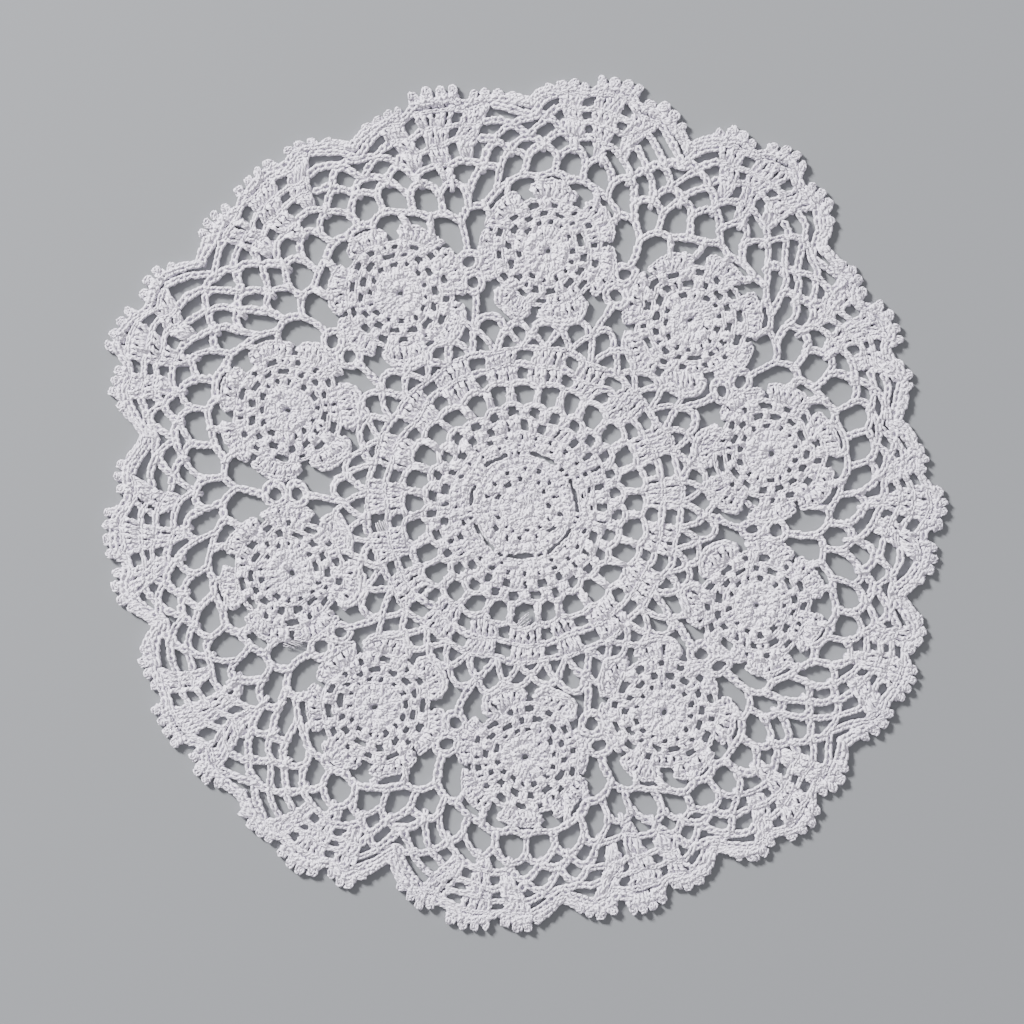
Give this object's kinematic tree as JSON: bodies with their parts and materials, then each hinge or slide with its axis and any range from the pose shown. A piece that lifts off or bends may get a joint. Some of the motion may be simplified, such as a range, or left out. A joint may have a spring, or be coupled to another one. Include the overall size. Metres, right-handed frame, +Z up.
{
  "type": "crocheted lace doily",
  "caption": "Round crocheted cotton lace doily with a close centre, a ring of petalled wheels, open net and a scalloped picot edge.",
  "frame": {"origin": "bottom centre of the bounding box, on the table the doily lies on", "axes": "+Z up out of the table, +Y towards the top of the doily, +X to its right"},
  "size_m": [0.3462, 0.3524, 0.002],
  "materials": {
    "cotton": "matte"
  },
  "bodies": {
    "root": {"doily": "cotton"}
  },
  "joints": []
}
